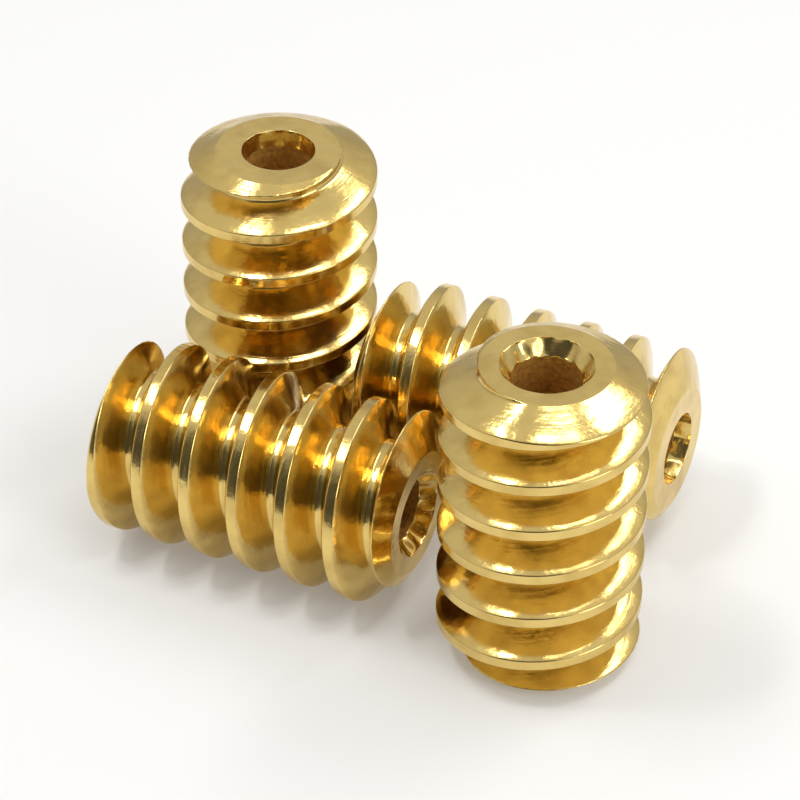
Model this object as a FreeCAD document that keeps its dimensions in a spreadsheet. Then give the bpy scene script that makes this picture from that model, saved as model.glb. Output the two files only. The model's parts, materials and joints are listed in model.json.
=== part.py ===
"""Four loose one-piece worms for small worm gear drives, two standing on end and two lying down.

Each worm is a short length of single-start, right-hand threaded brass bar.  It is bevelled at both
ends and bored through for a shaft, with a wider countersink at one end than at the other.  All four
are the same part: they differ only in where they are and how far they are turned.

The frame has +Z up and its origin on the surface that the worms rest on, under the middle of the
group.  Lengths are in millimetres and angles in degrees.
"""

import FreeCAD, Part
import math
import os
import Sketcher

PARTS_FOLDER = "parts"
SHEET_NAME = "Dimensions"
UP = FreeCAD.Vector(0, 0, 1)
RIGHT = FreeCAD.Vector(1, 0, 0)

# The driving dimensions of one worm: alias, value, meaning.
WORM_DIMENSIONS = [
    ("gear_module", 0.5, "axial module: the pitch is pi times this"),
    ("outer_diameter", 6.0, "over the thread crests"),
    ("overall_length", 10.0, "from end face to end face"),
    ("bore_diameter", 2.0, "plain bore for a 2 mm shaft"),
    ("thread_depth", 1.1, "crest to root, 2.2 modules"),
    ("crest_land", 0.39, "width of the flat on each crest"),
    ("flank_angle", 22.0, "between a flank and a plane square to the axis"),
    ("root_radius", 0.14, "fillet between the root and each flank"),
    ("face_diameter", 3.8, "outside of the flat ring at each end"),
    ("bevel_length", 0.5, "length of each end bevel along the axis"),
    ("wide_rim_diameter", 2.7, "mouth of the wider countersink"),
    ("wide_sink_depth", 0.44, "depth of the wider countersink"),
    ("narrow_rim_diameter", 2.24, "mouth of the narrower countersink"),
    ("narrow_sink_depth", 0.5, "depth of the narrower countersink"),
    ("cutter_overrun", 0.2, "how far the groove cutter stands outside the crests"),
]

# Where each worm is: x and y of its middle, and how far it is turned about its own axis.
WORM_PLACES = {
    "front_standing_worm": {"x": 4.13, "y": -5.46, "turn": 88.2},
    "rear_standing_worm": {"x": -3.68, "y": 5.54, "turn": 339.2},
    "left_lying_worm": {"x": -3.92, "y": -1.17, "turn": 123.6},
    "right_lying_worm": {"x": 3.9, "y": 2.08, "turn": 107.4},
}

# How far the axes of the lying worms swing from +X towards the front.
LYING_SWING = 25.0


def make_sheet(document):
    """The spreadsheet that every size and place is read from."""
    rows = list(WORM_DIMENSIONS)
    rows.append(("lying_swing", LYING_SWING, "swing of the lying worms' axes from +X"))
    for name, place in WORM_PLACES.items():
        for key, value in place.items():
            rows.append((name + "_" + key, value, key + " of the " + name.replace("_", " ")))
    sheet = document.addObject("Spreadsheet::Sheet", SHEET_NAME)
    for number, (alias, value, meaning) in enumerate(rows, start=1):
        sheet.set("A%d" % number, meaning)
        sheet.set("B%d" % number, str(value))
        sheet.setAlias("B%d" % number, alias)
    document.recompute()
    return sheet


def cell(alias):
    """The expression that reads one cell of the sheet."""
    return SHEET_NAME + "." + alias


def origin_feature(body, role):
    """One of the body's own origin planes or axes."""
    return next(feature for feature in body.Origin.OriginFeatures if feature.Role == role)


def add_sketch(body, name):
    """An empty sketch on the body's XZ plane, with the radius as x and the axis as y."""
    sketch = body.newObject("Sketcher::SketchObject", name)
    sketch.AttachmentSupport = (origin_feature(body, "XZ_Plane"), [""])
    sketch.MapMode = "FlatFace"
    return sketch


def add_line(sketch, start, end):
    """A straight edge between two (x, y) points; returns its number in the sketch."""
    return sketch.addGeometry(Part.LineSegment(FreeCAD.Vector(*start, 0), FreeCAD.Vector(*end, 0)), False)


def add_fillet(sketch, centre, radius, start, end):
    """A circular arc between two angles; returns its number in the sketch."""
    circle = Part.Circle(FreeCAD.Vector(*centre, 0), UP, radius)
    return sketch.addGeometry(Part.ArcOfCircle(circle, start, end), False)


def bind(sketch, constraint, name, expression):
    """Add a named constraint whose value follows an expression."""
    number = sketch.addConstraint(constraint)
    sketch.renameConstraint(number, name)
    sketch.setExpression("Constraints." + name, expression)


def blank_corners(sheet):
    """Corners of the blank's half section: name, radius, height, and the expressions for both."""
    outer = sheet.outer_diameter / 2
    face = sheet.face_diameter / 2
    bore = sheet.bore_diameter / 2
    wide = sheet.wide_rim_diameter / 2
    narrow = sheet.narrow_rim_diameter / 2
    top = sheet.overall_length
    bevel = sheet.bevel_length
    top_cell = cell("overall_length")
    radius = {
        "outer": (outer, cell("outer_diameter") + " / 2"),
        "face": (face, cell("face_diameter") + " / 2"),
        "bore": (bore, cell("bore_diameter") + " / 2"),
        "wide": (wide, cell("wide_rim_diameter") + " / 2"),
        "narrow": (narrow, cell("narrow_rim_diameter") + " / 2"),
    }
    heights = [
        ("narrow_foot", "bore", sheet.narrow_sink_depth, cell("narrow_sink_depth")),
        ("narrow_rim", "narrow", 0.0, None),
        ("low_face", "face", 0.0, None),
        ("low_bevel", "outer", bevel, cell("bevel_length")),
        ("high_bevel", "outer", top - bevel, top_cell + " - " + cell("bevel_length")),
        ("high_face", "face", top, top_cell),
        ("wide_rim", "wide", top, top_cell),
        ("wide_foot", "bore", top - sheet.wide_sink_depth, top_cell + " - " + cell("wide_sink_depth")),
    ]
    return [(name, *radius[size], height, rule) for name, size, height, rule in heights]


def turn_blank(body, sheet):
    """Revolve the half section into the bored, bevelled and countersunk blank."""
    sketch = add_sketch(body, "BlankSection")
    corners = blank_corners(sheet)
    points = [(radius, height) for _, radius, _, height, _ in corners]
    for number, start in enumerate(points):
        add_line(sketch, start, points[(number + 1) % len(points)])
    for number, (name, _, radius_rule, _, height_rule) in enumerate(corners):
        following = (number + 1) % len(corners)
        sketch.addConstraint(Sketcher.Constraint("Coincident", number, 2, following, 1))
        across = Sketcher.Constraint("DistanceX", -1, 1, number, 1, points[number][0])
        bind(sketch, across, name + "_radius", radius_rule)
        if height_rule is None:
            sketch.addConstraint(Sketcher.Constraint("PointOnObject", number, 1, -1))
        else:
            along = Sketcher.Constraint("DistanceY", -1, 1, number, 1, points[number][1])
            bind(sketch, along, name + "_height", height_rule)
    blank = body.newObject("PartDesign::Revolution", "Blank")
    blank.Profile = sketch
    blank.ReferenceAxis = (origin_feature(body, "Z_Axis"), [""])
    blank.Angle = 360
    return blank


def draw_groove(body, sheet):
    """The groove's section, mirror-symmetric, one pitch below the low end face."""
    root = sheet.outer_diameter / 2 - sheet.thread_depth
    outside = sheet.outer_diameter / 2 + sheet.cutter_overrun
    slope = math.tan(math.radians(sheet.flank_angle))
    pitch = math.pi * sheet.gear_module
    half_mouth = (pitch - sheet.crest_land) / 2 + sheet.cutter_overrun * slope
    fillet = sheet.root_radius

    # The fillet's centre, and the point where it meets the flank.
    corner = half_mouth - (outside - root) * slope
    tilt = math.radians(sheet.flank_angle)
    centre = (root + fillet, corner + fillet * slope - fillet / math.cos(tilt))
    meeting = (centre[0] - fillet * math.sin(tilt), centre[1] + fillet * math.cos(tilt))

    sketch = add_sketch(body, "GrooveSection")
    sketch.setExpression("AttachmentOffset.Base.y", "-pi * " + cell("gear_module"))
    mouth = add_line(sketch, (outside, -half_mouth), (outside, half_mouth))
    upper = add_line(sketch, (outside, half_mouth), meeting)
    upper_arc = add_fillet(sketch, centre, fillet, math.pi / 2 + tilt, math.pi)
    floor = add_line(sketch, (root, centre[1]), (root, -centre[1]))
    lower_arc = add_fillet(sketch, (centre[0], -centre[1]), fillet, math.pi, 1.5 * math.pi - tilt)
    lower = add_line(sketch, (meeting[0], -meeting[1]), (outside, -half_mouth))

    sketch.addConstraint(
        [
            Sketcher.Constraint("Coincident", mouth, 2, upper, 1),
            Sketcher.Constraint("Coincident", lower, 2, mouth, 1),
            Sketcher.Constraint("Tangent", upper, 2, upper_arc, 1),
            Sketcher.Constraint("Tangent", upper_arc, 2, floor, 1),
            Sketcher.Constraint("Tangent", floor, 2, lower_arc, 1),
            Sketcher.Constraint("Tangent", lower_arc, 2, lower, 1),
            Sketcher.Constraint("Equal", upper_arc, lower_arc),
            Sketcher.Constraint("Symmetric", mouth, 1, mouth, 2, -1),
            Sketcher.Constraint("Symmetric", floor, 1, floor, 2, -1),
        ]
    )
    outer_rule = cell("outer_diameter") + " / 2"
    mouth_rule = "pi * {} - {} + 2 * {} * tan({} * 1 deg)".format(
        cell("gear_module"), cell("crest_land"), cell("cutter_overrun"), cell("flank_angle")
    )
    across = Sketcher.Constraint("DistanceX", -1, 1, mouth, 1, outside)
    bind(sketch, across, "mouth_radius", outer_rule + " + " + cell("cutter_overrun"))
    across = Sketcher.Constraint("DistanceX", -1, 1, floor, 1, root)
    bind(sketch, across, "root_radius", outer_rule + " - " + cell("thread_depth"))
    along = Sketcher.Constraint("DistanceY", mouth, 1, mouth, 2, 2 * half_mouth)
    bind(sketch, along, "mouth_width", mouth_rule)
    bind(sketch, Sketcher.Constraint("Radius", upper_arc, fillet), "fillet_radius", cell("root_radius"))
    opening = Sketcher.Constraint("Angle", lower, 1, upper, 2, 2 * tilt)
    bind(sketch, opening, "opening_angle", "2 * " + cell("flank_angle") + " * 1 deg")
    return sketch


def cut_thread(body, sheet):
    """Run the groove along the blank as a right-hand helix, from a pitch below it to a pitch above."""
    thread = body.newObject("PartDesign::SubtractiveHelix", "Thread")
    thread.Profile = draw_groove(body, sheet)
    thread.ReferenceAxis = (origin_feature(body, "Z_Axis"), [""])
    thread.Mode = "pitch-height-angle"
    thread.setExpression("Pitch", "pi * " + cell("gear_module"))
    thread.setExpression("Height", cell("overall_length") + " + 2 * pi * " + cell("gear_module"))
    thread.Angle = 0
    thread.LeftHanded = False
    thread.Reversed = False
    return thread


def worm_pose(name, sheet):
    """The way one worm's axis runs from narrow to wide end, the side its seam faces, its middle."""
    swing = math.radians(sheet.lying_swing)
    lying = FreeCAD.Vector(math.cos(swing), -math.sin(swing), 0)
    standing_height = sheet.overall_length / 2
    lying_height = sheet.outer_diameter / 2
    return {
        "front_standing_worm": (UP, RIGHT, standing_height),
        "rear_standing_worm": (-UP, RIGHT, standing_height),
        "left_lying_worm": (lying, UP, lying_height),
        "right_lying_worm": (-lying, UP, lying_height),
    }[name]


def place_worm(body, name, sheet):
    """Turn the worm about its own axis, then stand it up or lay it down where it rests."""
    axis, side, height = worm_pose(name, sheet)
    middle = FreeCAD.Vector(sheet.get(name + "_x"), sheet.get(name + "_y"), height)
    to_middle = FreeCAD.Placement(-UP * (sheet.overall_length / 2), FreeCAD.Rotation())
    turn = FreeCAD.Placement(FreeCAD.Vector(), FreeCAD.Rotation(UP, sheet.get(name + "_turn")))
    attitude = FreeCAD.Placement(middle, FreeCAD.Rotation(side, FreeCAD.Vector(), axis, "ZXY"))
    body.Placement = attitude * turn * to_middle


def make_worm(document, name, sheet):
    """One worm as its own body, sized by the sheet and put in its place."""
    body = document.addObject("PartDesign::Body", name)
    body.Label = name
    turn_blank(body, sheet)
    document.recompute()
    blank_volume = body.Shape.Volume
    cut_thread(body, sheet)
    document.recompute()
    if not body.Shape.Volume < blank_volume:
        raise RuntimeError(name + ": the thread cut nothing")
    place_worm(body, name, sheet)
    return body


def check(document, bodies):
    """Stop if any object failed to compute or any worm isn't one valid solid."""
    for thing in document.Objects:
        if "Invalid" in thing.State or "Error" in thing.State:
            raise RuntimeError(thing.Name + " did not compute: " + ", ".join(thing.State))
    for body in bodies:
        shape = body.Shape
        if shape.isNull() or not shape.isValid() or len(shape.Solids) != 1:
            raise RuntimeError(body.Label + " is not one valid solid")


def main():
    document = FreeCAD.newDocument("WormSet")
    sheet = make_sheet(document)
    bodies = [make_worm(document, name, sheet) for name in WORM_PLACES]
    document.recompute()
    check(document, bodies)
    os.makedirs(PARTS_FOLDER, exist_ok=True)
    for body in bodies:
        body.Shape.exportStep(os.path.join(PARTS_FOLDER, body.Label + ".step"))
        print("%-20s %.2f mm3" % (body.Label, body.Shape.Volume))


main()
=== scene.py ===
"""Four loose brass worms on a pale surface: the looks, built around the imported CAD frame.

Each CAD worm is measured where it lies (axis, wide end, thread phase, radii) and stands behind a
finer mesh of the same worm, with the small edge roundings and tool marks of a turned brass part.
Lengths are in metres.  In a worm's own coordinates the middle of its axis is the origin, +Z runs to
the end with the wider countersink, and a thread crest crosses z = 0 at angle 0.
"""

import json
import math

import bpy
import numpy as np
from mathutils import Matrix, Vector

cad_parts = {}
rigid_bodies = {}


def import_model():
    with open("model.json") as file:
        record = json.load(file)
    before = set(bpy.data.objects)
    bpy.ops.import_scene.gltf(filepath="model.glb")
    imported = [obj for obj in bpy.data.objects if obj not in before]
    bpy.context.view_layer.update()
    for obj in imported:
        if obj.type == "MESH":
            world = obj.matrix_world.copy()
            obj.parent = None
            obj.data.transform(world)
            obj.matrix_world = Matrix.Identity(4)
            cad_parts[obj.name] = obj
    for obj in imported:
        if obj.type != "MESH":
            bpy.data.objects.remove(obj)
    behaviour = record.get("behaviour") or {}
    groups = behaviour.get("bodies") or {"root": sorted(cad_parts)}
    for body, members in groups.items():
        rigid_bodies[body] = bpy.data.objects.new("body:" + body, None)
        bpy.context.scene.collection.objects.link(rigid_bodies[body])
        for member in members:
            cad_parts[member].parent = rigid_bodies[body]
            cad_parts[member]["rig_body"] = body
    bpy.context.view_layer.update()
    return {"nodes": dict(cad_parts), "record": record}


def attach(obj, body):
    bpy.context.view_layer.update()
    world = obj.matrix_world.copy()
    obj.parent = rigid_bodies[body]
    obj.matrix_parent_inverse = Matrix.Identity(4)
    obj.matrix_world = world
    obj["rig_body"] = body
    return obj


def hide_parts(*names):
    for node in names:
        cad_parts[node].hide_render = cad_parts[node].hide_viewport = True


MM = 0.001

# The thread's section, as in the CAD: one start, right hand.
PITCH = math.pi * 0.5 * MM
CREST_LAND = 0.39 * MM
FLANK_ANGLE = math.radians(22.0)
ROOT_FILLET = 0.14 * MM

# How the crests' corners are eased: the flank's angle at the very corner, how fast it settles to the
# straight flank, and the small rounding between corner and land.
CORNER_ANGLE = math.radians(38.0)
CORNER_DEPTH = 0.12 * MM
CORNER_ROUNDING = 0.025 * MM

# The ends, as in the CAD.
BEVEL_LENGTH = 0.5 * MM
WIDE_SINK_DEPTH = 0.44 * MM
NARROW_SINK_DEPTH = 0.5 * MM

# Attributes of the worms' meshes that the brass reads.
OWN_PLACE = "own_place"
TOOL_MARKS = "tool_marks"

# Fineness of the mesh, and the rounding where the thread runs out into a bevel.
COLUMNS = 256
BEVEL_RINGS = 34
EDGE_STRIP = 0.012 * MM
RUN_OUT_ROUNDING = 0.04 * MM
SNAP = 0.004 * MM
SINK_SHARES = (0.03, 0.12, 0.25, 0.4, 0.55, 0.7, 0.85, 0.95)

# The drill's chatter in the countersinks: shallow lobes round the cone, as a share of its width.
CHATTER_LOBES = 10
CHATTER_SHARE = 0.14

# How the outer part of each end bevel falls away from a straight cone.
BEVEL_EASE_START = 0.6
BEVEL_EASE = 0.05 * MM

# Bumps on the brass: rings left by the lathe, and mottling.  The rings lean along the axis so that
# they also mark the bore and the crests.
RING_SCALE = 11000.0
RING_LEAN = 0.7
RING_DEPTH = 0.007 * MM
BORE_RING_DEPTH = 0.02 * MM
MOTTLE_SCALE = 1100.0
MOTTLE_DEPTH = 0.07 * MM
BUMP_STRENGTH = 0.5

# The brass's colours and roughness, which follow the mottling over these ranges of it.
BRIGHT_BRASS = (0.79, 0.58, 0.20, 1)
DULL_BRASS = (0.66, 0.47, 0.15, 1)
DULLING_RANGE = (0.42, 0.68)
SMUDGE_RANGE = (0.35, 0.7)
BRASS_ROUGHNESS = (0.13, 0.24)

# The bore's wall.
SPECKLE_SCALE = 7000.0
DARK_SPECKLE = (0.15, 0.07, 0.0, 1)
PALE_SPECKLE = (0.95, 0.52, 0.12, 1)

# The card under the worms.
CARD_HALF = 600 * MM
CARD_COLOUR = (0.68, 0.68, 0.67, 1)
CARD_GLOW = (1.0, 0.97, 0.93, 1)
CARD_GLOW_STRENGTH = 0.20

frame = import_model()


# ---- measuring the CAD worms -------------------------------------------------------------------

def vertices_of(node):
    """The CAD node's vertices as an array, in the row frame."""
    mesh = frame["nodes"][node].data
    flat = np.empty(len(mesh.vertices) * 3)
    mesh.vertices.foreach_get("co", flat)
    return flat.reshape(-1, 3)


def bore_of(node):
    """The record's bore mount of a worm: a point on its axis, its direction, its radius."""
    name = node.replace("_worm", "_bore")
    mount = next(m for m in frame["record"]["mounts"] if m["name"] == name)
    return Vector(mount["pos_m"]), Vector(mount["axis"]).normalized(), mount["dims"]["r_mm"] * MM


def measure_worm(node):
    """Where a worm is and how it is turned, and its radii, from its mesh and its bore mount."""
    points = vertices_of(node)
    start, axis, bore = bore_of(node)
    along = (points - np.array(start)) @ np.array(axis)
    middle = start + axis * float(along.max() + along.min()) / 2
    length = float(along.max() - along.min())

    def end_radii(direction):
        """The smallest and largest radius on the end face that direction points out of."""
        reach = (points - np.array(middle)) @ np.array(direction)
        on_face = points[reach > length / 2 - 0.001 * MM] - np.array(middle + direction * length / 2)
        radii = np.linalg.norm(on_face, axis=1)
        return radii.min(), radii.max()

    if end_radii(axis)[0] < end_radii(-axis)[0]:
        axis = -axis
    side = axis.orthogonal().normalized()
    offsets = points - np.array(middle)
    local = offsets @ np.array([side, axis.cross(side), axis]).T
    radii = np.hypot(local[:, 0], local[:, 1])
    outer = radii.max()

    # Vertices on the crests away from the bevels give the thread's phase.
    crests = local[(radii > outer - 0.002 * MM) & (abs(local[:, 2]) < 0.35 * length)]
    turns = np.arctan2(crests[:, 1], crests[:, 0]) / (2 * math.pi)
    phase = np.angle(np.exp(2j * math.pi * (crests[:, 2] / PITCH - turns)).mean())
    inner = radii[(radii > 1.5 * bore) & (abs(local[:, 2]) < 0.35 * length)].min()

    basis = Matrix((side, axis.cross(side), axis)).transposed().to_4x4()
    place = Matrix.Translation(middle) @ basis @ Matrix.Rotation(-phase, 4, "Z")
    return {
        "place": place,
        "length": length,
        "outer": float(outer),
        "root": float(inner),
        "bore": bore,
        "face": float(end_radii(axis)[1]),
        "wide_rim": float(end_radii(axis)[0]),
        "narrow_rim": float(end_radii(-axis)[0]),
    }


# ---- the worm's mesh ---------------------------------------------------------------------------

def smooth_minimum(a, b, width):
    """The smaller of two heights, with the crease where they cross rounded over a width."""
    overlap = np.clip(width - np.abs(a - b), 0, None)
    return np.minimum(a, b) - overlap ** 2 / (4 * width)


def flank_offset(depth):
    """Distance from a crest's middle, along the axis, of the flank at a depth below the crest."""
    easing = (math.tan(CORNER_ANGLE) - math.tan(FLANK_ANGLE)) * CORNER_DEPTH
    return CREST_LAND / 2 + depth * math.tan(FLANK_ANGLE) - easing * np.exp(-depth / CORNER_DEPTH)


def section_limits(size):
    """Distances from a crest's middle, along the axis, where the parts of the section end."""
    turn = math.pi / 2 - FLANK_ANGLE
    depth = size["outer"] - size["root"]
    corner = float(flank_offset(0.0))
    root_end = float(flank_offset(depth)) + ROOT_FILLET * math.tan(turn / 2)
    root_start = root_end - ROOT_FILLET * math.sin(turn)
    return corner, root_start, root_end


def thread_radius(offset, size):
    """Radius of the thread's surface at a distance along the axis from the nearest crest's middle."""
    _, root_start, root_end = section_limits(size)
    out = np.abs((offset + PITCH / 2) % PITCH - PITCH / 2)
    outer, root = size["outer"], size["root"]
    depths = np.linspace(-0.2 * MM, outer - root, 400)
    flank = outer - np.interp(out, flank_offset(depths), depths)
    crest = smooth_minimum(outer + 0 * out, flank, CORNER_ROUNDING)
    root_rise = np.clip(root_end - out, 0, ROOT_FILLET)
    fillet = root + ROOT_FILLET - np.sqrt(ROOT_FILLET ** 2 - root_rise ** 2)
    return np.where(out < root_start, crest, fillet)


def section_steps(size):
    """Places along one pitch, from a crest's middle, where the helical rows of the mesh run."""
    corner, root_start, root_end = section_limits(size)
    spans = [
        (0.0, corner - CORNER_ROUNDING, 2),
        (corner - CORNER_ROUNDING, corner + CORNER_ROUNDING, 5),
        (corner + CORNER_ROUNDING, root_start, 10),
        (root_start, root_end, 5),
        (root_end, PITCH / 2, 1),
    ]
    half = np.concatenate([np.linspace(a, b, n, endpoint=False) for a, b, n in spans])
    return np.concatenate([half, [PITCH / 2], PITCH - half[:0:-1]])


def bevelled_radius(angle, height, size):
    """Radius of the worm's outside, thread and end bevels together."""
    share = (size["length"] / 2 - np.abs(height)) / BEVEL_LENGTH
    eased = (np.clip(share, BEVEL_EASE_START, 1.3) - BEVEL_EASE_START) / (1 - BEVEL_EASE_START)
    bevel = size["face"] + (size["outer"] - size["face"]) * share - BEVEL_EASE * eased ** 2
    thread = thread_radius(height - PITCH * angle / (2 * math.pi), size)
    return smooth_minimum(thread, bevel, RUN_OUT_ROUNDING)


def ring_points(angle, radius, height):
    """Points of one ring round the axis; radius is one number or one for each column."""
    return np.stack([radius * np.cos(angle), radius * np.sin(angle), height + 0 * angle], axis=1)


def middle_reach(size):
    """How far from the worm's middle its helical rows reach: just short of the eased bevels."""
    return size["length"] / 2 - BEVEL_LENGTH - BEVEL_EASE - 2 * RUN_OUT_ROUNDING


def end_rings(angle, size, sign, rim, sink):
    """Rings from the thread's last full ring over the bevel, end face and countersink to the bore."""
    top = size["length"] / 2
    first = middle_reach(size)
    rings = []
    heights = np.linspace(first, top - EDGE_STRIP, BEVEL_RINGS)[1:]
    for height in heights:
        rings.append((bevelled_radius(angle, sign * height, size), height))
    face, bore = size["face"], size["bore"]
    rings.append((face, top))
    for radius in np.linspace(face - EDGE_STRIP, rim + EDGE_STRIP, 5):
        rings.append((radius, top))
    rings.append((rim, top))
    for share in SINK_SHARES:
        lobes = np.sin(CHATTER_LOBES * angle) * math.sin(math.pi * share) ** 0.5
        radius = rim + (bore - rim) * (share - CHATTER_SHARE * lobes)
        rings.append((radius, top - sink * share))
    rings.append((bore, top - sink))
    return [ring_points(angle, radius, sign * height) for radius, height in rings]


def helical_zone(angle, size):
    """The threaded part between the bevels: points, and faces over them.

    Rows follow the helix, so that the crests' edges stay clean.  Where a row leaves the zone its
    points close up onto the zone's first or last ring, which are the first and last points.
    """
    reach = middle_reach(size)
    steps = section_steps(size)
    per_turn = len(steps)
    turns = math.ceil(reach / PITCH) + 1
    rows = np.concatenate([steps + PITCH * turn for turn in range(-turns, turns)])
    heights = rows[None, :] + PITCH * (angle / (2 * math.pi))[:, None]
    low = heights < -reach + SNAP
    high = heights > reach - SNAP
    inside = ~(low | high)

    numbers = np.empty(heights.shape, int)
    count = int(inside.sum())
    numbers[inside] = np.arange(count) + COLUMNS
    column = np.arange(COLUMNS)[:, None] + 0 * numbers
    numbers[low] = column[low]
    numbers[high] = column[high] + COLUMNS + count

    # One column further round, a row meets the row that starts one pitch above it.
    following = np.roll(numbers, -1, axis=0)
    following[-1, :-per_turn] = numbers[0, per_turn:]
    following[-1, -per_turn:] = COLUMNS + count
    a, b = numbers[:, :-1], following[:, :-1]
    c, d = following[:, 1:], numbers[:, 1:]
    quads = np.stack([a, b, c, d], axis=-1).reshape(-1, 4)

    around = np.broadcast_to(angle[:, None], heights.shape)[inside]
    up = heights[inside]
    radius = bevelled_radius(around, up, size)
    middle = np.stack([radius * np.cos(around), radius * np.sin(around), up], axis=1)
    first = ring_points(angle, bevelled_radius(angle, -reach, size), -reach)
    last = ring_points(angle, bevelled_radius(angle, reach, size), reach)
    return np.concatenate([first, middle, last]), quads


def without_repeats(quads):
    """The faces as lists, with corners that are the same point taken once and flat ones left out."""
    faces = []
    same = quads == np.roll(quads, -1, axis=1)
    whole = ~same.any(axis=1)
    faces.extend(quads[whole].tolist())
    for corners in quads[~whole].tolist():
        kept = [p for number, p in enumerate(corners) if p != corners[number - 1]]
        if len(kept) == 3:
            faces.append(kept)
    return faces


def bridge(first, second):
    """Quads between two rings of point numbers."""
    return np.stack([first, np.roll(first, -1), np.roll(second, -1), second], axis=1)


def worm_mesh(name, size):
    """The whole worm as one closed mesh."""
    angle = np.arange(COLUMNS) * 2 * math.pi / COLUMNS
    points, quads = helical_zone(angle, size)
    last_ring = np.arange(len(points) - COLUMNS, len(points))
    first_ring = np.arange(COLUMNS)

    half = size["length"] / 2
    rings = end_rings(angle, size, 1, size["wide_rim"], WIDE_SINK_DEPTH)
    bore_top = half - WIDE_SINK_DEPTH
    bore_bottom = -half + NARROW_SINK_DEPTH
    inner = bore_top - EDGE_STRIP
    outer = bore_bottom + EDGE_STRIP
    rings += [ring_points(angle, size["bore"], z) for z in np.linspace(inner, outer, 8)]
    rings += end_rings(angle, size, -1, size["narrow_rim"], NARROW_SINK_DEPTH)[::-1]

    numbers = [last_ring]
    for ring in rings:
        numbers.append(len(points) + np.arange(COLUMNS))
        points = np.concatenate([points, ring])
    numbers.append(first_ring)
    strips = [bridge(a, b) for a, b in zip(numbers, numbers[1:])]
    faces = without_repeats(np.concatenate([quads, *strips]))
    mesh = bpy.data.meshes.new(name)
    mesh.from_pydata(points.tolist(), [], faces)
    mesh.shade_smooth()
    keep_own_place(mesh, points, size["place"])
    mesh.transform(size["place"])
    return mesh


def keep_own_place(mesh, points, place):
    """Store each vertex's place in the worm's own coordinates, and the way the lathe's marks run there."""
    own = mesh.attributes.new(OWN_PLACE, "FLOAT_VECTOR", "POINT")
    own.data.foreach_set("vector", points.astype(np.float32).ravel())
    around = np.stack([-points[:, 1], points[:, 0], 0 * points[:, 0]], axis=1)
    around /= np.linalg.norm(around, axis=1)[:, None]
    around = around @ np.array(place.to_3x3()).T
    marks = mesh.attributes.new(TOOL_MARKS, "FLOAT_VECTOR", "POINT")
    marks.data.foreach_set("vector", around.astype(np.float32).ravel())


# ---- materials ---------------------------------------------------------------------------------

def new_material(name):
    """An empty node material and its node tree, with a Principled BSDF joined to its output."""
    material = bpy.data.materials.new(name)
    material.use_nodes = True
    tree = material.node_tree
    return material, tree, tree.nodes["Principled BSDF"]


def add_node(tree, kind, inputs=None, **settings):
    """A node with its properties set and its inputs given values or joined to other outputs."""
    node = tree.nodes.new(kind)
    for key, value in settings.items():
        setattr(node, key, value)
    for key, value in (inputs or {}).items():
        if isinstance(value, bpy.types.NodeSocket):
            tree.links.new(value, node.inputs[key])
        else:
            node.inputs[key].default_value = value
    return node


def add_range(tree, value, source, target, **settings):
    """The value, carried over from one range to another."""
    ends = {"From Min": source[0], "From Max": source[1], "To Min": target[0], "To Max": target[1]}
    return add_node(tree, "ShaderNodeMapRange", {"Value": value, **ends}, **settings).outputs["Result"]


def add_mix(tree, factor, first, second):
    """A colour between two others."""
    colours = {"Factor": factor, "A": first, "B": second}
    return add_node(tree, "ShaderNodeMix", colours, data_type="RGBA").outputs["Result"]


def turned_bumps(tree, shader, ring_depth):
    """Fine rings round the axis and slight mottling, as bumps on a worm's surface.

    Gives back the mottling, for the colour and roughness to follow.
    """
    place = add_node(tree, "ShaderNodeAttribute", attribute_name=OWN_PLACE).outputs["Vector"]
    flat = add_node(tree, "ShaderNodeVectorMath", {0: place, 1: (1, 1, 0)}, operation="MULTIPLY")
    radius = add_node(tree, "ShaderNodeVectorMath", {0: flat.outputs[0]}, operation="LENGTH")
    lean = (0, 0, RING_LEAN)
    height = add_node(tree, "ShaderNodeVectorMath", {0: place, 1: lean}, operation="DOT_PRODUCT")
    terms = {0: radius.outputs["Value"], 1: height.outputs["Value"]}
    across = add_node(tree, "ShaderNodeMath", terms, operation="ADD")
    fineness = {"W": across.outputs[0], "Scale": RING_SCALE, "Detail": 3.0}
    rings = add_node(tree, "ShaderNodeTexNoise", fineness, noise_dimensions="1D")
    fineness = {"Vector": place, "Scale": MOTTLE_SCALE, "Detail": 4.0}
    mottle = add_node(tree, "ShaderNodeTexNoise", fineness)
    normal = None
    for noise, depth in ((rings, ring_depth), (mottle, MOTTLE_DEPTH)):
        bump = {"Height": noise.outputs[0], "Strength": BUMP_STRENGTH, "Distance": depth}
        if normal is not None:
            bump["Normal"] = normal
        normal = add_node(tree, "ShaderNodeBump", bump).outputs[0]
    tree.links.new(normal, shader.inputs["Normal"])
    return mottle.outputs[0]


def brass():
    """Bright turned brass, a little smudged."""
    material, tree, shader = new_material("turned_brass")
    mottle = turned_bumps(tree, shader, RING_DEPTH)
    roughness = add_range(tree, mottle, SMUDGE_RANGE, BRASS_ROUGHNESS)
    tree.links.new(roughness, shader.inputs["Roughness"])
    dulling = add_range(tree, mottle, DULLING_RANGE, (0.0, 1.0))
    tint = add_mix(tree, dulling, BRIGHT_BRASS, DULL_BRASS)
    tree.links.new(tint, shader.inputs["Base Color"])
    marks = add_node(tree, "ShaderNodeAttribute", attribute_name=TOOL_MARKS).outputs["Vector"]
    tree.links.new(marks, shader.inputs["Tangent"])
    shader.inputs["Metallic"].default_value = 1.0
    shader.inputs["Anisotropic"].default_value = 0.5
    shader.inputs["Anisotropic Rotation"].default_value = 0.25
    return material


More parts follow.
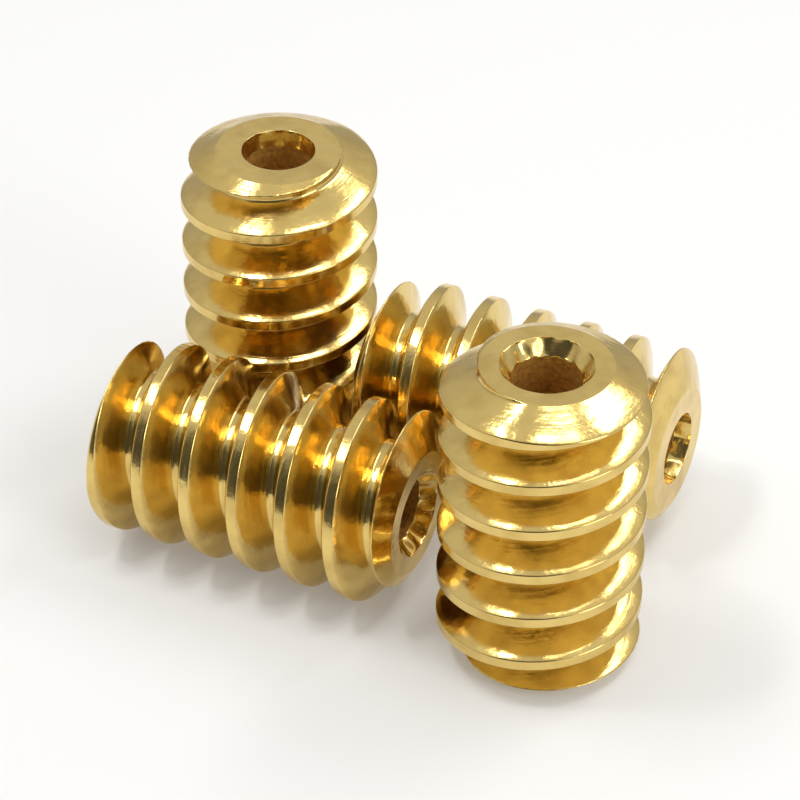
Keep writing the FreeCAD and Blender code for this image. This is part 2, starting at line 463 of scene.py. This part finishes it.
def bored_brass():
    """The bore's duller, speckled wall, as the drill left it."""
    material, tree, shader = new_material("bored_brass")
    turned_bumps(tree, shader, BORE_RING_DEPTH)
    place = add_node(tree, "ShaderNodeAttribute", attribute_name=OWN_PLACE).outputs["Vector"]
    fineness = {"Vector": place, "Scale": SPECKLE_SCALE, "Detail": 3.0}
    speckle = add_node(tree, "ShaderNodeTexNoise", fineness)
    tint = add_mix(tree, speckle.outputs[0], DARK_SPECKLE, PALE_SPECKLE)
    tree.links.new(tint, shader.inputs["Base Color"])
    shader.inputs["Metallic"].default_value = 0.4
    shader.inputs["Roughness"].default_value = 0.45
    return material


def pale_card():
    """Matt white card that glows slightly, which keeps the shadows on it pale."""
    material, _, shader = new_material("pale_card")
    shader.inputs["Base Color"].default_value = CARD_COLOUR
    shader.inputs["Emission Color"].default_value = CARD_GLOW
    shader.inputs["Emission Strength"].default_value = CARD_GLOW_STRENGTH
    shader.inputs["Roughness"].default_value = 0.9
    shader.inputs["Specular IOR Level"].default_value = 0.1
    return material


# ---- the worms ---------------------------------------------------------------------------------

def give_materials(mesh, outside, bore, size):
    """Put one material on the worm and the other on its bore wall."""
    mesh.materials.append(outside)
    mesh.materials.append(bore)
    own = np.empty(len(mesh.vertices) * 3)
    mesh.attributes[OWN_PLACE].data.foreach_get("vector", own)
    own = own.reshape(-1, 3)
    at_bore = np.hypot(own[:, 0], own[:, 1]) < size["bore"] + 0.001 * MM
    for face in mesh.polygons:
        face.material_index = int(at_bore[list(face.vertices)].all())


def add_worm(node, outside, bore):
    """The finer worm that stands for a CAD node, riding on that node's body."""
    size = measure_worm(node)
    mesh = worm_mesh(node + "_brass", size)
    give_materials(mesh, outside, bore, size)
    worm = bpy.data.objects.new(node + "_brass", mesh)
    bpy.context.scene.collection.objects.link(worm)
    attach(worm, frame["nodes"][node]["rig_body"])
    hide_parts(node)


# ---- the studio --------------------------------------------------------------------------------

# The camera, in mm and degrees: it looks along +Y and down.
CAMERA_PLACE = Vector((0.05, -86.5, 68.5)) * MM
CAMERA_PITCH = math.radians(36.4)
CAMERA_ROLL = math.radians(0.4)
CAMERA_LENS = 162.0

# The soft lights: name, direction from the worms, direction of the longer side, size, radiance.
LIGHT_DISTANCE = 150 * MM
SOFTBOXES = [
    ("top_softbox", (0.14, -0.09, 0.98), (1.0, 0.35, 0.0), (56 * MM, 20 * MM), 7.0),
    ("right_softbox", (0.48, 0.30, 0.82), (0.3, 0.95, 0.0), (76 * MM, 26 * MM), 6.0),
    ("left_softbox", (-0.37, 0.10, 0.92), (0.0, 1.0, 0.0), (46 * MM, 22 * MM), 8.0),
    ("left_lamp", (-0.38, -0.05, 0.92), (0.0, 1.0, 0.0), (15 * MM, 15 * MM), 25.0),
    ("front_softbox", (0.64, -0.58, 0.50), (0.7, 0.7, 0.0), (60 * MM, 60 * MM), 3.0),
]

# The surroundings: their strength from the horizon up to a height, and the dark zone in them.  The
# zone's range is of the cosine of the angle from its middle, and its shades multiply the strength.
SKY_HEIGHTS = (0.0, 0.6)
SKY_STRENGTHS = (0.4, 0.7)
DARK_SIDE = Vector((-0.35, -0.80, 0.45)).normalized()
DARK_RANGE = (0.7, 0.9)
DARK_SHADES = (1.0, 0.12)


def add_floor():
    """A large pale card under the worms."""
    half = CARD_HALF
    corners = [(-half, -half, 0), (half, -half, 0), (half, half, 0), (-half, half, 0)]
    mesh = bpy.data.meshes.new("floor")
    mesh.from_pydata(corners, [], [(0, 1, 2, 3)])
    mesh.materials.append(pale_card())
    floor = bpy.data.objects.new("floor", mesh)
    bpy.context.scene.collection.objects.link(floor)


def add_softbox(name, direction, along, size, radiance):
    """A rectangular soft light in a direction from the worms, its longer side running along another."""
    light = bpy.data.lights.new(name, "AREA")
    light.shape = "RECTANGLE"
    light.size, light.size_y = size
    light.energy = radiance * 4 * size[0] * size[1]
    lamp = bpy.data.objects.new(name, light)
    bpy.context.scene.collection.objects.link(lamp)
    towards = Vector(direction).normalized()
    across = towards.cross(Vector(along)).normalized()
    turn = Matrix((across.cross(towards), across, towards)).transposed().to_4x4()
    lamp.matrix_world = Matrix.Translation(towards * LIGHT_DISTANCE) @ turn
    lamp.visible_camera = False


def set_world():
    """Grey surroundings, darker towards the horizon and at the front left."""
    world = bpy.data.worlds.new("studio")
    bpy.context.scene.world = world
    world.use_nodes = True
    tree = world.node_tree
    background = tree.nodes["Background"]
    direction = add_node(tree, "ShaderNodeTexCoord").outputs["Generated"]
    upwards = add_node(tree, "ShaderNodeSeparateXYZ", {"Vector": direction})
    sky = add_range(tree, upwards.outputs["Z"], SKY_HEIGHTS, SKY_STRENGTHS)
    vectors = {0: direction, 1: DARK_SIDE}
    towards = add_node(tree, "ShaderNodeVectorMath", vectors, operation="DOT_PRODUCT").outputs["Value"]
    shade = add_range(tree, towards, DARK_RANGE, DARK_SHADES, interpolation_type="SMOOTHSTEP")
    level = add_node(tree, "ShaderNodeMath", {0: sky, 1: shade}, operation="MULTIPLY")
    background.inputs["Color"].default_value = (1, 1, 1, 1)
    tree.links.new(level.outputs[0], background.inputs["Strength"])


def add_camera():
    """The camera, at the photograph's viewing angle."""
    data = bpy.data.cameras.new("camera")
    data.lens = CAMERA_LENS
    data.sensor_width = 36.0
    data.clip_start, data.clip_end = 1 * MM, 3.0
    camera = bpy.data.objects.new("camera", data)
    bpy.context.scene.collection.objects.link(camera)
    pitch = Matrix.Rotation(math.pi / 2 - CAMERA_PITCH, 4, "X")
    roll = Matrix.Rotation(CAMERA_ROLL, 4, "Z")
    camera.matrix_world = Matrix.Translation(CAMERA_PLACE) @ pitch @ roll
    bpy.context.scene.camera = camera


outside_brass = brass()
bore_brass = bored_brass()
for worm_node in sorted(frame["nodes"]):
    add_worm(worm_node, outside_brass, bore_brass)
add_floor()
for softbox in SOFTBOXES:
    add_softbox(*softbox)
set_world()
add_camera()
bpy.context.scene.view_settings.view_transform = "Standard"
